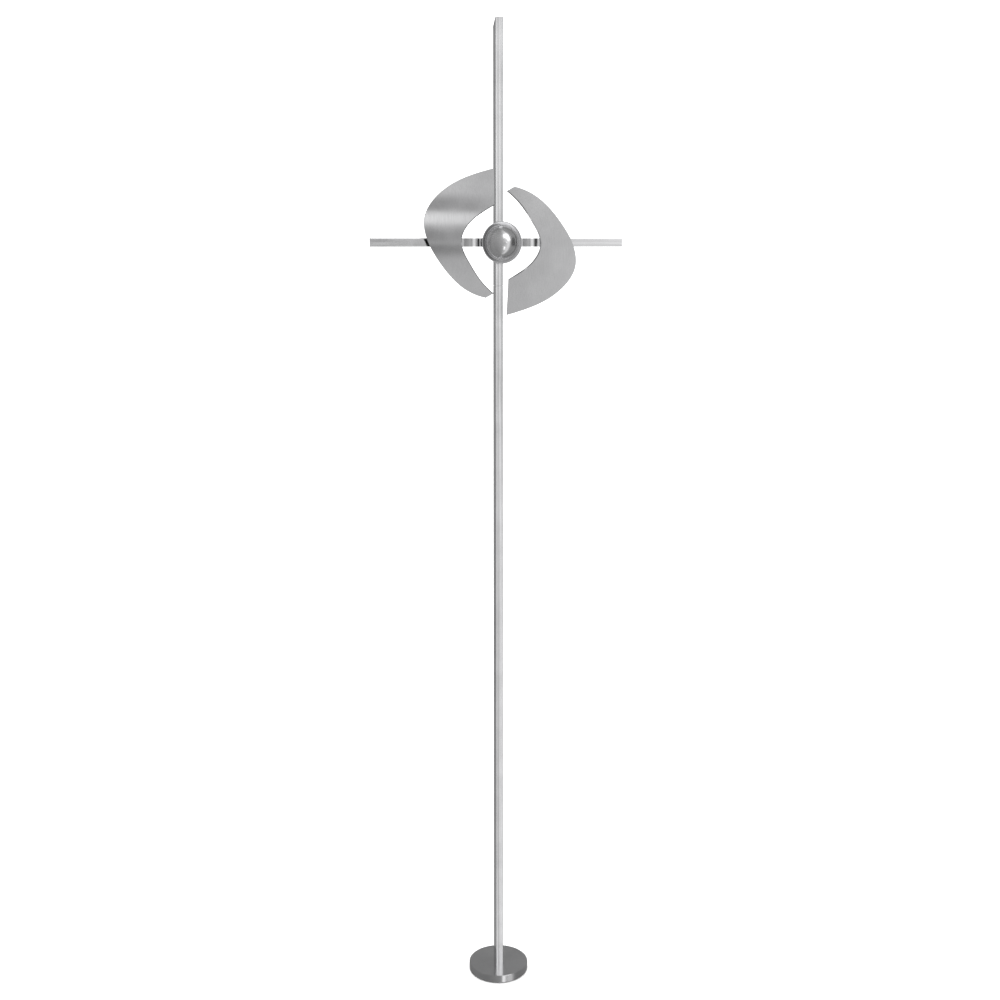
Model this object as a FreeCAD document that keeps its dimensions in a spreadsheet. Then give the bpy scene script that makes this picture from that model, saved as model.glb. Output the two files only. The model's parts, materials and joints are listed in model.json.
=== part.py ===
import FreeCAD, Part
import math
import os

import Sketcher

# A garden wind spinner: a tall square post on a round foot plate, a cross near the top, and a rotor
# of two crescent blades that turns freely on ball bearings in front of the cross.
#
# Millimetres. The origin is the middle of the foot's underside, +Z is up and -Y is the front.
# The rotor turns about a line along Y at the height of the hub. A "reach" is a distance from the
# middle plane of the post towards the front.

FORWARD = FreeCAD.Rotation(FreeCAD.Vector(1, 0, 0), 90)
BACKWARD = FreeCAD.Rotation(FreeCAD.Vector(1, 0, 0), -90)
HALF_TURN_AXLE = FreeCAD.Rotation(FreeCAD.Vector(0, 1, 0), 180)
NO_TURN = FreeCAD.Rotation()

# The driving dimensions: alias, value and meaning.
SIZES = [
    ("total_height", 1800, "underside of the foot to the top of the post"),
    ("hub_height", 1418, "height of the rotor's axis"),
    ("seam_height", 1342, "height of the joint between the two lengths of post"),
    ("seam_gap", 0.5, "hairline left between the two lengths at that joint"),
    ("bar_width", 15, "outside width of the square tube"),
    ("bar_wall", 1.5, "wall of the square tube"),
    ("bar_round", 1.0, "outside corner radius of the square tube"),
    ("cross_span", 470, "overall width of the cross"),
    ("cap_thick", 1.5, "thickness of the closing plates"),
    ("foot_radius", 57.5, "radius of the foot plate"),
    ("foot_thick", 15, "thickness of the foot plate"),
    ("foot_chamfer", 0.8, "chamfer on the rim of the foot plate"),
    ("pad_inset", 2.5, "how far the pad's edge stands inside the foot plate's"),
    ("pad_thick", 1.5, "thickness of the rubber pad"),
    ("foot_screw_radius", 4, "shank of the screw under the foot"),
    ("foot_screw_length", 25, "length of that screw under its head"),
    ("foot_head_radius", 6.5, "head of that screw"),
    ("foot_head_height", 8, "height of that head"),
    ("foot_head_key", 3, "half the width across the flats of its socket"),
    ("head_gap", 0.5, "room round a screw head in its counterbore"),
    ("fit_gap", 0.05, "radial clearance of a screw or shaft in its hole"),
    ("plug_gap", 0.1, "clearance of a plug in the square tube, each side"),
    ("plug_length", 30, "length of the tapped plug in the foot"),
    ("spigot_length", 130, "length of the spigot across the seam"),
    ("joint_screw_radius", 2.5, "screws that hold the spigot"),
    ("joint_screw_length", 9, "length of those screws"),
    ("joint_screw_offset", 30, "distance of those screws from the seam"),
    ("joint_screw_key", 1.25, "half the width across the flats of their sockets"),
    ("axle_radius", 3, "shank of the axle bolt"),
    ("axle_length", 45, "length of the axle bolt under its head"),
    ("axle_head_radius", 5.7, "corner radius of the axle bolt's hexagon head"),
    ("axle_head_height", 4, "height of that head"),
    ("sleeve_radius", 5, "outside of the sleeves on the axle"),
    ("standoff", 2.8, "gap between the post and the rear bearing"),
    ("washer_radius", 6, "outside of the rear washer"),
    ("washer_thick", 1.6, "thickness of the washers"),
    ("nut_radius", 5.7, "corner radius of the cap nut's hexagon"),
    ("nut_height", 5, "height of the cap nut's hexagon"),
    ("nut_dome_radius", 4.6, "radius of the cap nut's dome"),
    ("bearing_width", 6, "width of a ball bearing"),
    ("bearing_spread", 6, "gap between the two bearings"),
    ("inner_ring_radius", 5, "outside of a bearing's inner ring"),
    ("outer_ring_bore", 7.5, "inside radius of a bearing's outer ring"),
    ("bearing_radius", 9.5, "outside of a ball bearing"),
    ("ball_radius", 1.7, "radius of a bearing ball"),
    ("ball_pitch", 6.25, "radius of the circle of balls"),
    ("race_gap", 0.15, "clearance of a ball in its groove and its cage"),
    ("cage_half_thick", 0.3, "half the radial thickness of the ball cage"),
    ("cage_width", 4.6, "width of the ball cage"),
    ("shoulder_bore", 7.8, "radius of the shoulder between the bearings"),
    ("housing_radius", 13, "outside of the bearing housing"),
    ("housing_back", 9.5, "reach of the housing's rear end"),
    ("housing_front", 31.3, "reach of the housing's front end"),
    ("flange_radius", 27, "radius of the housing's flange"),
    ("flange_thick", 2, "thickness of that flange"),
    ("clip_thick", 1, "thickness of the retaining clip"),
    ("clip_radius", 10, "outside of the retaining clip in its groove"),
    ("clip_bore", 8.3, "inside radius of the retaining clip"),
    ("clip_opening", 5, "opening of the retaining clip"),
    ("arm_height", 15, "height of a rotor arm"),
    ("arm_thick", 8, "depth of a rotor arm"),
    ("arm_start", 13.4, "distance of an arm's inner end from the axis"),
    ("arm_end", 122, "distance of an arm's outer end from the axis"),
    ("crown_start", 40, "distance of the crowned length's inner end from the axis"),
    ("crown_end", 68, "distance of its outer end from the axis"),
    ("crown_rise", 4, "how far that length bows out to the front"),
    ("blade_thick", 2.5, "plate thickness of a blade"),
    ("blade_bevel", 1.6, "bevel along the inner edge of a blade"),
    ("blade_weld", 0.3, "height of the weld between a blade and its arm"),
    ("blade_roll", 800, "radius that a blade is rolled to"),
    ("blade_pitch", 1.5, "slope of a blade at its arm, in degrees"),
    ("blade_reach", 160, "half the width of the sheet a blade is cut from"),
    ("dish_radius", 36.75, "radius of the dish behind the dome"),
    ("dish_floor", 31.5, "radius of the flat floor of the dish"),
    ("dish_sheet", 1, "sheet thickness of the dish"),
    ("dish_depth", 3, "depth of the dish"),
    ("dish_screw_radius", 1.5, "screws that hold the dish to the flange"),
    ("dish_screw_head", 2.75, "head radius of those screws"),
    ("dish_screw_rise", 1.8, "head height of those screws"),
    ("dish_screw_circle", 22, "radius of the circle of those screws"),
    ("dome_radius", 30, "outside radius of the dome"),
    ("dome_sheet", 1, "sheet thickness of the dome"),
]
VALUE = {alias: value for alias, value, meaning in SIZES}

# Reaches along the axle, built up from the post's front face.
FACE = "Sizes.bar_width / 2"
REAR_BEARING = FACE + " + Sizes.standoff"
SPREAD = REAR_BEARING + " + Sizes.bearing_width"
FRONT_BEARING = SPREAD + " + Sizes.bearing_spread"
STACK_FRONT = FRONT_BEARING + " + Sizes.bearing_width"
HEAD = STACK_FRONT + " + Sizes.washer_thick"
FLANGE_BACK = "Sizes.housing_back + Sizes.arm_thick"
FLANGE_FRONT = FLANGE_BACK + " + Sizes.flange_thick"
FLOOR_FRONT = FLANGE_FRONT + " + Sizes.dish_sheet"

# The faces of the square tube, along Y, and how far a closing plate reaches along a mitred tube.
TUBE_FRONT = "-(Sizes.bar_width / 2)"
TUBE_REAR = "Sizes.bar_width / 2"
CAP_EDGE = "Sizes.cap_thick * sqrt(2)"

BALLS = 7
DISH_SCREWS = 3

# Corners and waypoints of a blade's outline, from the axis: X to the side and Z up, for the left blade.
OUTER_EDGE = [(-12, 128), (-64, 112), (-112, 84), (-140, 41), (-133, 0), (-112, -35), (-72, -77), (-27, -97)]
INNER_EDGE = [(-12, -89), (-39, -63), (-58, -35), (-72, -5), (-72, 9), (-62, 29), (-42, 47), (-13.5, 64)]

document = FreeCAD.newDocument("wind_spinner")
nodes = []


def make_sheet():
    """Puts the driving dimensions into a spreadsheet, each under its alias."""
    sheet = document.addObject("Spreadsheet::Sheet", "Sizes")
    for row, (alias, value, meaning) in enumerate(SIZES, start=1):
        sheet.set(f"A{row}", meaning)
        sheet.set(f"B{row}", str(value))
        sheet.setAlias(f"B{row}", alias)
    document.recompute()


def keep(piece, label):
    """Gives a finished piece its name and lists it for export."""
    piece.Label = label
    nodes.append(piece)
    return piece


def bind(piece, **expressions):
    """Binds properties of a piece to the spreadsheet."""
    for name, expression in expressions.items():
        piece.setExpression(name, expression)


def place(piece, turn=NO_TURN, across=None, reach=None, height=None):
    """Turns a piece and binds where its own origin stands."""
    piece.Placement.Rotation = turn
    if across:
        piece.setExpression("Placement.Base.x", across)
    if reach:
        piece.setExpression("Placement.Base.y", f"-({reach})")
    if height:
        piece.setExpression("Placement.Base.z", height)
    return piece


def body(name):
    """Makes an empty PartDesign body."""
    return document.addObject("PartDesign::Body", name)


def origin_plane(part, role):
    """Finds one of the body's own origin planes."""
    return next(item for item in part.Origin.OriginFeatures if item.Role == role)


def sketch_on(part, role, name, offset=None):
    """Makes an empty sketch on one of the body's origin planes, with an optional bound offset."""
    sketch = part.newObject("Sketcher::SketchObject", name)
    sketch.AttachmentSupport = [(origin_plane(part, role), "")]
    sketch.MapMode = "FlatFace"
    if offset:
        sketch.setExpression("AttachmentOffset.Base.z", offset)
    return sketch


def outline(sketch, corners):
    """Draws a closed polygon whose corners are bound to expressions for their two coordinates."""
    count = len(corners)
    first = sketch.GeometryCount
    start = []
    for index in range(count):
        angle = 2 * math.pi * index / count
        start.append(FreeCAD.Vector(10 * math.cos(angle), 10 * math.sin(angle), 0))
    for index in range(count):
        sketch.addGeometry(Part.LineSegment(start[index], start[(index + 1) % count]), False)
    for index in range(count):
        following = first + (index + 1) % count
        sketch.addConstraint(Sketcher.Constraint("Coincident", first + index, 2, following, 1))
    for index, (across, along) in enumerate(corners):
        for kind, value, expression in (
            ("DistanceX", start[index].x, across),
            ("DistanceY", start[index].y, along),
        ):
            number = sketch.addConstraint(Sketcher.Constraint(kind, -1, 1, first + index, 1, value))
            sketch.setExpression(f"Constraints[{number}]", expression)


def rectangle(sketch, half_width, half_height):
    """Draws a rectangle centred on the sketch's origin."""
    outline(
        sketch,
        [
            (f"-({half_width})", f"-({half_height})"),
            (half_width, f"-({half_height})"),
            (half_width, half_height),
            (f"-({half_width})", half_height),
        ],
    )


def join_ends(sketch, first, second, curves, crossed=False):
    """Closes two open curves of a sketch into one outline with a straight line at each end."""
    partner = {1: 2, 2: 1} if crossed else {1: 1, 2: 2}
    point = {1: "StartPoint", 2: "EndPoint"}
    for end in (1, 2):
        begins = getattr(curves[0], point[end])
        finishes = getattr(curves[1], point[partner[end]])
        line = sketch.addGeometry(Part.LineSegment(begins, finishes), False)
        sketch.addConstraint(Sketcher.Constraint("Coincident", first, end, line, 1))
        sketch.addConstraint(Sketcher.Constraint("Coincident", second, partner[end], line, 2))


def circle(sketch, radius, across="0", along="0"):
    """Draws a circle whose radius and centre are bound."""
    index = sketch.addGeometry(Part.Circle(FreeCAD.Vector(1, 1, 0), FreeCAD.Vector(0, 0, 1), 5), False)
    number = sketch.addConstraint(Sketcher.Constraint("Radius", index, 5))
    sketch.setExpression(f"Constraints[{number}]", radius)
    for kind, expression in (("DistanceX", across), ("DistanceY", along)):
        number = sketch.addConstraint(Sketcher.Constraint(kind, -1, 1, index, 3, 1))
        sketch.setExpression(f"Constraints[{number}]", expression)


def pad(part, sketch, length, symmetric=False, reverse=False):
    """Pads a sketch by a bound length."""
    feature = part.newObject("PartDesign::Pad", f"{sketch.Name}_pad")
    feature.Profile = sketch
    feature.setExpression("Length", length)
    feature.Midplane = symmetric
    feature.Reversed = reverse
    return feature


def pocket(part, sketch, length, symmetric=False, reverse=False):
    """Cuts a sketch away over a bound length."""
    feature = part.newObject("PartDesign::Pocket", f"{sketch.Name}_cut")
    feature.Profile = sketch
    feature.setExpression("Length", length)
    feature.Midplane = symmetric
    feature.Reversed = reverse
    return feature


def revolve(part, sketch):
    """Turns a sketch fully about its own vertical axis."""
    feature = part.newObject("PartDesign::Revolution", f"{sketch.Name}_turned")
    feature.Profile = sketch
    feature.ReferenceAxis = (sketch, ["V_Axis"])
    feature.Angle = 360
    return feature


def turned(name, section):
    """Makes a turned piece from its section: radius across, and reach along the front's direction.

    The body's own Y axis points to the rear, so reaches are entered with their sign changed.
    """
    part = body(name)
    sketch = sketch_on(part, "XY_Plane", f"{name}_section")
    outline(sketch, [(radius, f"-({reach})") for radius, reach in section])
    revolve(part, sketch)
    place(part, height="Sizes.hub_height")
    return keep(part, name)


def straight_edges(feature, direction, test=None):
    """Names the straight edges of a feature's shape that run along a direction."""
    document.recompute()
    found = []
    for number, edge in enumerate(feature.Shape.Edges, start=1):
        if edge.Curve.TypeId != "Part::GeomLine":
            continue
        if abs(abs(edge.Curve.Direction.dot(direction)) - 1) > 1e-6:
            continue
        if test and not test(edge.CenterOfMass):
            continue
        found.append(f"Edge{number}")
    return found


def dress(part, kind, feature, edges, size_name, expression):
    """Adds a fillet or a chamfer to named edges of a feature."""
    dressed = part.newObject(f"PartDesign::{kind}", f"{feature.Name}_{kind.lower()}")
    dressed.Base = (feature, edges)
    dressed.setExpression(size_name, expression)
    return dressed


def cylinder(name, radius, length, turn=NO_TURN, across=None, reach=None, height=None):
    """Makes a bound cylinder; with FORWARD it starts at the reach and runs to the front."""
    solid = document.addObject("Part::Cylinder", name)
    bind(solid, Radius=radius, Height=length)
    return place(solid, turn, across, reach, height)


def prism(name, radius, length, turn, across=None, reach=None, height=None):
    """Makes a bound hexagonal prism."""
    solid = document.addObject("Part::Prism", name)
    solid.Polygon = 6
    bind(solid, Circumradius=radius, Height=length)
    return place(solid, turn, across, reach, height)


def cut(name, base, tool):
    """Subtracts one object from another."""
    result = document.addObject("Part::Cut", name)
    result.Base = base
    result.Tool = tool
    return result


def fuse(name, *shapes):
    """Joins objects into one solid."""
    result = document.addObject("Part::MultiFuse", name)
    result.Shapes = list(shapes)
    result.Refine = True
    return result


def group(name, pieces):
    """Keeps several separate solids together as one node."""
    result = document.addObject("Part::Compound", name)
    result.Links = pieces
    return keep(result, name)


def collar(name, outer, inner, back, length):
    """Makes a plain ring on the axle between two reaches."""
    ring = cylinder(f"{name}_outside", outer, length, FORWARD, reach=back, height="Sizes.hub_height")
    bore = cylinder(f"{name}_bore", inner, length, FORWARD, reach=back, height="Sizes.hub_height")
    return keep(cut(name, ring, bore), name)


# --- The foot --------------------------------------------------------------------------------------


def make_foot_plate():
    """The round plate, counterbored from below for its screw, with both rims chamfered."""
    part = body("base_plate")
    disc = sketch_on(part, "XY_Plane", "foot_disc")
    circle(disc, "Sizes.foot_radius")
    plate = pad(part, disc, "Sizes.foot_thick")
    document.recompute()
    rims = [
        f"Edge{number}"
        for number, edge in enumerate(plate.Shape.Edges, start=1)
        if edge.Curve.TypeId == "Part::GeomCircle"
    ]
    dress(part, "Chamfer", plate, rims, "Size", "Sizes.foot_chamfer")
    recess = sketch_on(part, "XY_Plane", "foot_counterbore")
    circle(recess, "Sizes.foot_head_radius + Sizes.head_gap")
    pocket(part, recess, "Sizes.foot_head_height + Sizes.head_gap", reverse=True)
    through = sketch_on(part, "XY_Plane", "foot_hole")
    circle(through, "Sizes.foot_screw_radius + Sizes.fit_gap")
    pocket(part, through, "Sizes.foot_thick", reverse=True)
    place(part, height="Sizes.pad_thick")
    keep(part, "base_plate")


def make_foot_pad():
    """The stuck-on rubber pad that the plate stands on; it covers the screw."""
    part = body("base_pad")
    disc = sketch_on(part, "XY_Plane", "pad_disc")
    circle(disc, "Sizes.foot_radius - Sizes.pad_inset")
    pad(part, disc, "Sizes.pad_thick")
    keep(part, "base_pad")


def make_foot_screw():
    """The socket head screw that draws the post down on to the plate."""
    seat = "Sizes.pad_thick + Sizes.head_gap + Sizes.foot_head_height"
    head = cylinder(
        "foot_screw_head", "Sizes.foot_head_radius", "Sizes.foot_head_height", height=f"{seat} - Sizes.foot_head_height"
    )
    shank = cylinder("foot_screw_shank", "Sizes.foot_screw_radius", "Sizes.foot_screw_length", height=seat)
    key = prism(
        "foot_screw_key",
        "Sizes.foot_head_key / cos(30)",
        "Sizes.foot_head_height / 2",
        NO_TURN,
        height=f"{seat} - Sizes.foot_head_height",
    )
    keep(cut("base_screw", fuse("foot_screw_blank", head, shank), key), "base_screw")


def make_foot_plug():
    """The tapped square plug in the bottom of the post."""
    part = body("foot_plug")
    half = "Sizes.bar_width / 2 - Sizes.bar_wall - Sizes.plug_gap"
    square = sketch_on(part, "XY_Plane", "plug_square")
    rectangle(square, half, half)
    circle(square, "Sizes.foot_screw_radius + Sizes.fit_gap")
    pad(part, square, "Sizes.plug_length")
    place(part, height="Sizes.pad_thick + Sizes.foot_thick")
    keep(part, "foot_plug")


# --- The square tubes of the post and the cross ----------------------------------------------------


def square_tube(name, role, length, direction, start=None, reverse=False):
    """Makes a square tube that runs along an origin plane's normal, or against it."""
    part = body(name)
    section = sketch_on(part, role, f"{name}_section", start)
    rectangle(section, "Sizes.bar_width / 2", "Sizes.bar_width / 2")
    inside = "Sizes.bar_width / 2 - Sizes.bar_wall"
    rectangle(section, inside, inside)
    tube = pad(part, section, length, reverse=reverse)
    limit = VALUE["bar_width"] / 2 - VALUE["bar_wall"] / 2

    def outside(point):
        """Tells the tube's outside corners from its inside ones."""
        aside = point - direction * point.dot(direction)
        return aside.Length > limit * math.sqrt(2)

    corners = straight_edges(tube, direction, outside)
    dress(part, "Fillet", tube, corners, "Radius", "Sizes.bar_round")
    return part


def mitre_corners(role, profile):
    """Turns corners given as (reach to the rear, distance along) into the plane's own coordinates."""
    if role == "XY_Plane":
        return [(along, rearward) for rearward, along in profile]
    return profile


def mitre(part, role, name, end, sign=""):
    """Cuts the far end of a tube back at 45 degrees, so that its front face is the longest."""
    wedge = sketch_on(part, role, name)
    profile = [(TUBE_FRONT, f"{sign}({end})"), (TUBE_REAR, f"{sign}({end} - Sizes.bar_width)")]
    profile.append((TUBE_REAR, f"{sign}({end})"))
    outline(wedge, mitre_corners(role, profile))
    return pocket(part, wedge, "Sizes.bar_width * 2", symmetric=True)


def mitred_cap(name, role, end, sign=""):
    """Makes the plate that closes a mitred end; its front corner stands at the full length."""
    part = body(name)
    side = sketch_on(part, role, f"{name}_side")
    profile = [
        (TUBE_FRONT, f"{sign}({end})"),
        (TUBE_REAR, f"{sign}({end} - Sizes.bar_width)"),
        (TUBE_REAR, f"{sign}({end} - Sizes.bar_width - {CAP_EDGE})"),
        (TUBE_FRONT, f"{sign}({end} - {CAP_EDGE})"),
    ]
    outline(side, mitre_corners(role, profile))
    pad(part, side, "Sizes.bar_width", symmetric=True)
    return part


def cross_hole(part, name, radius, height, depth, offset=None):
    """Drills a hole from front to back, or only into one side, through an upright tube."""
    hole = sketch_on(part, "XZ_Plane", name, offset)
    circle(hole, radius, along=height)
    return pocket(part, hole, depth, symmetric=offset is None, reverse=offset is not None)


def make_post():
    """The two lengths of post, the spigot that joins them and its screws."""
    upright = FreeCAD.Vector(0, 0, 1)
    foot_top = "Sizes.pad_thick + Sizes.foot_thick"
    screw_hole = "Sizes.joint_screw_radius + Sizes.fit_gap"
    rear_wall = TUBE_FRONT

    lower_length = f"Sizes.seam_height - Sizes.seam_gap - ({foot_top})"
    lower = square_tube("post_lower", "XY_Plane", lower_length, upright)
    lower_screw = f"Sizes.seam_height - ({foot_top}) - Sizes.joint_screw_offset"
    cross_hole(lower, "lower_screw_hole", screw_hole, lower_screw, "Sizes.bar_width / 2", rear_wall)
    place(lower, height=foot_top)
    keep(lower, "post_lower")

    upper_length = f"Sizes.total_height - Sizes.seam_height - {CAP_EDGE}"
    upper = square_tube("post_upper", "XY_Plane", upper_length, upright)
    mitre(upper, "YZ_Plane", "post_mitre", upper_length)
    cross_hole(upper, "upper_screw_hole", screw_hole, "Sizes.joint_screw_offset", "Sizes.bar_width / 2", rear_wall)
    axle_hole = "Sizes.axle_radius + Sizes.fit_gap"
    cross_hole(upper, "axle_hole", axle_hole, "Sizes.hub_height - Sizes.seam_height", "Sizes.bar_width * 2")
    place(upper, height="Sizes.seam_height")
    keep(upper, "post_upper")

    spigot = body("joint_spigot")
    half = "Sizes.bar_width / 2 - Sizes.bar_wall - Sizes.plug_gap"
    square = sketch_on(spigot, "XY_Plane", "spigot_square")
    rectangle(square, half, half)
    pad(spigot, square, "Sizes.spigot_length", symmetric=True)
    screw_tip = "Sizes.bar_width / 2 - Sizes.joint_screw_length"
    for side, sign in (("lower", "-"), ("upper", "")):
        hole = sketch_on(spigot, "XZ_Plane", f"spigot_{side}_hole", f"-({screw_tip})")
        circle(hole, screw_hole, along=f"{sign}Sizes.joint_screw_offset")
        pocket(spigot, hole, "Sizes.bar_width")
    place(spigot, height="Sizes.seam_height")
    keep(spigot, "joint_spigot")

    screws = []
    for side, sign in (("lower", "-"), ("upper", "+")):
        height = f"Sizes.seam_height {sign} Sizes.joint_screw_offset"
        shank = cylinder(
            f"joint_screw_{side}_shank",
            "Sizes.joint_screw_radius",
            "Sizes.joint_screw_length",
            FORWARD,
            reach=rear_wall,
            height=height,
        )
        key = prism(
            f"joint_screw_{side}_key",
            "Sizes.joint_screw_key / cos(30)",
            "Sizes.joint_screw_length / 3",
            FORWARD,
            reach=rear_wall,
            height=height,
        )
        screws.append(cut(f"joint_screw_{side}", shank, key))
    group("joint_screws", screws)


def make_cross():
    """The two side arms, and the plates that close the mitred ends of the arms and of the post."""
    sideways = FreeCAD.Vector(1, 0, 0)
    half_span = "Sizes.cross_span / 2"
    blank_end = f"{half_span} - {CAP_EDGE}"
    for side, sign in (("left", "-"), ("right", "")):
        arm = square_tube(
            f"crossbar_{side}",
            "YZ_Plane",
            f"{blank_end} - Sizes.bar_width / 2",
            sideways,
            start=f"{sign}(Sizes.bar_width / 2)",
            reverse=side == "left",
        )
        mitre(arm, "XY_Plane", f"crossbar_{side}_mitre", blank_end, sign)
        place(arm, height="Sizes.hub_height")
        keep(arm, f"crossbar_{side}")
        cap = mitred_cap(f"crossbar_cap_{side}", "XY_Plane", half_span, sign)
        place(cap, height="Sizes.hub_height")
        keep(cap, f"crossbar_cap_{side}")
    top = mitred_cap("post_top_cap", "YZ_Plane", "Sizes.total_height")
    keep(top, "post_top_cap")


# --- The axle and its stack ------------------------------------------------------------------------


def make_axle():
    """The bolt, its nut and the plain rings that it clamps against the post."""
    hub = "Sizes.hub_height"
    bore = "Sizes.axle_radius + Sizes.fit_gap"
    inside = "Sizes.bar_width - 2 * Sizes.bar_wall"
    rear = f"-({FACE})"
    collar("crush_sleeve", "Sizes.sleeve_radius", bore, f"-({inside}) / 2", inside)
    collar("standoff_spacer", "Sizes.sleeve_radius", bore, FACE, "Sizes.standoff")
    collar("inner_ring_spacer", "Sizes.sleeve_radius", bore, SPREAD, "Sizes.bearing_spread")
    collar("front_washer", "Sizes.sleeve_radius", bore, STACK_FRONT, "Sizes.washer_thick")
    collar("rear_washer", "Sizes.washer_radius", bore, f"{rear} - Sizes.washer_thick", "Sizes.washer_thick")

    head = prism("axle_head", "Sizes.axle_head_radius", "Sizes.axle_head_height", FORWARD, reach=HEAD, height=hub)
    shank = cylinder("axle_shank", "Sizes.axle_radius", "Sizes.axle_length", BACKWARD, reach=HEAD, height=hub)
    keep(fuse("axle_bolt", head, shank), "axle_bolt")

    nut_face = f"{rear} - Sizes.washer_thick"
    hexagon = prism("nut_hexagon", "Sizes.nut_radius", "Sizes.nut_height", BACKWARD, reach=nut_face, height=hub)
    dome = document.addObject("Part::Sphere", "nut_dome")
    bind(dome, Radius="Sizes.nut_dome_radius")
    dome.Angle1 = 0
    place(dome, BACKWARD, reach=f"{nut_face} - Sizes.nut_height", height=hub)
    bolt_tip = f"{HEAD} - Sizes.axle_length"
    depth = f"({nut_face}) - ({bolt_tip}) + Sizes.head_gap"
    blind = cylinder("nut_bore", bore, depth, BACKWARD, reach=nut_face, height=hub)
    keep(cut("rear_cap_nut", fuse("nut_blank", hexagon, dome), blind), "rear_cap_nut")


# --- The bearings ----------------------------------------------------------------------------------


def bearing_ring(name, inner, outer, reach):
    """Makes one ring of a ball bearing, with the ball groove turned into it."""
    part = body(name)
    section = sketch_on(part, "XY_Plane", f"{name}_section")
    half = "Sizes.bearing_width / 2"
    outline(section, [(inner, f"-({half})"), (outer, f"-({half})"), (outer, half), (inner, half)])
    revolve(part, section)
    race = sketch_on(part, "XY_Plane", f"{name}_race")
    circle(race, "Sizes.ball_radius + Sizes.race_gap", across="Sizes.ball_pitch")
    groove = part.newObject("PartDesign::Groove", f"{name}_groove")
    groove.Profile = race
    groove.ReferenceAxis = (race, ["V_Axis"])
    groove.Angle = 360
    place(part, reach=f"{reach} + Sizes.bearing_width / 2", height="Sizes.hub_height")
    keep(part, name)


def make_bearing(end, reach):
    """One ball bearing: its two rings, its balls and the cage that spaces them."""
    bearing_ring(f"{end}_bearing_inner_ring", "Sizes.axle_radius + Sizes.fit_gap", "Sizes.inner_ring_radius", reach)
    bearing_ring(f"{end}_bearing_outer_ring", "Sizes.outer_ring_bore", "Sizes.bearing_radius", reach)

    middle = f"{reach} + Sizes.bearing_width / 2"
    balls = []
    pockets = []
    for number in range(BALLS):
        angle = number * 360 / BALLS
        ball = document.addObject("Part::Sphere", f"{end}_ball_{number}")
        bind(ball, Radius="Sizes.ball_radius")
        place(
            ball,
            across=f"Sizes.ball_pitch * cos({angle})",
            reach=middle,
            height=f"Sizes.hub_height + Sizes.ball_pitch * sin({angle})",
        )
        balls.append(ball)
        outwards = FreeCAD.Rotation(FreeCAD.Vector(0, 1, 0), 90 - angle)
        pocket_radius = "Sizes.ball_radius + Sizes.race_gap"
        window = cylinder(
            f"{end}_pocket_{number}",
            pocket_radius,
            "Sizes.bearing_radius",
            outwards,
            reach=middle,
            height="Sizes.hub_height",
        )
        pockets.append(window)
    group(f"{end}_bearing_balls", balls)

    back = f"{middle} - Sizes.cage_width / 2"
    walls = []
    for wall, sign in (("outside", "+"), ("inside", "-")):
        radius = f"Sizes.ball_pitch {sign} Sizes.cage_half_thick"
        hub = "Sizes.hub_height"
        walls.append(cylinder(f"{end}_cage_{wall}", radius, "Sizes.cage_width", FORWARD, reach=back, height=hub))
    ring = cut(f"{end}_cage_ring", walls[0], walls[1])
    for number, window in enumerate(pockets):
        ring = cut(f"{end}_cage_cut_{number}", ring, window)
    keep(ring, f"{end}_bearing_cage")


# --- The rotor -------------------------------------------------------------------------------------


def make_housing():
    """The bearing housing: bored from both ends to a shoulder, with a clip groove and a flange."""
    seat = "Sizes.bearing_radius"
    clip_front = f"{STACK_FRONT} + Sizes.clip_thick"
    groove = "Sizes.clip_radius + Sizes.fit_gap"
    wall = "Sizes.housing_radius"
    housing = turned(
        "rotor_hub",
        [
            (seat, "Sizes.housing_back"),
            (wall, "Sizes.housing_back"),
            (wall, FLANGE_BACK),
            ("Sizes.flange_radius", FLANGE_BACK),
            ("Sizes.flange_radius", FLANGE_FRONT),
            (wall, FLANGE_FRONT),
            (wall, "Sizes.housing_front"),
            (seat, "Sizes.housing_front"),
            (seat, clip_front),
            (groove, clip_front),
            (groove, STACK_FRONT),
            (seat, STACK_FRONT),
            (seat, FRONT_BEARING),
            ("Sizes.shoulder_bore", FRONT_BEARING),
            ("Sizes.shoulder_bore", SPREAD),
            (seat, SPREAD),
        ],
    )
    holes = sketch_on(housing, "XZ_Plane", "flange_holes", FLANGE_BACK)
    for number in range(DISH_SCREWS):
        angle = 90 + number * 360 / DISH_SCREWS
        circle(
            holes,
            "Sizes.dish_screw_radius + Sizes.fit_gap",
            across=f"Sizes.dish_screw_circle * cos({angle})",
            along=f"Sizes.dish_screw_circle * sin({angle})",
        )
    pocket(housing, holes, "Sizes.flange_thick", reverse=True)

    hub = "Sizes.hub_height"
    rim = cylinder("clip_rim", "Sizes.clip_radius", "Sizes.clip_thick", FORWARD, reach=STACK_FRONT, height=hub)
    eye = cylinder("clip_eye", "Sizes.clip_bore", "Sizes.clip_thick", FORWARD, reach=STACK_FRONT, height=hub)
    opening = document.addObject("Part::Box", "clip_gap")
    bind(opening, Length="Sizes.clip_opening", Width="Sizes.clip_thick", Height="Sizes.clip_radius")
    place(opening, across="-Sizes.clip_opening / 2", reach=f"{STACK_FRONT} + Sizes.clip_thick", height=hub)
    keep(cut("bearing_circlip", cut("clip_ring", rim, eye), opening), "bearing_circlip")


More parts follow.
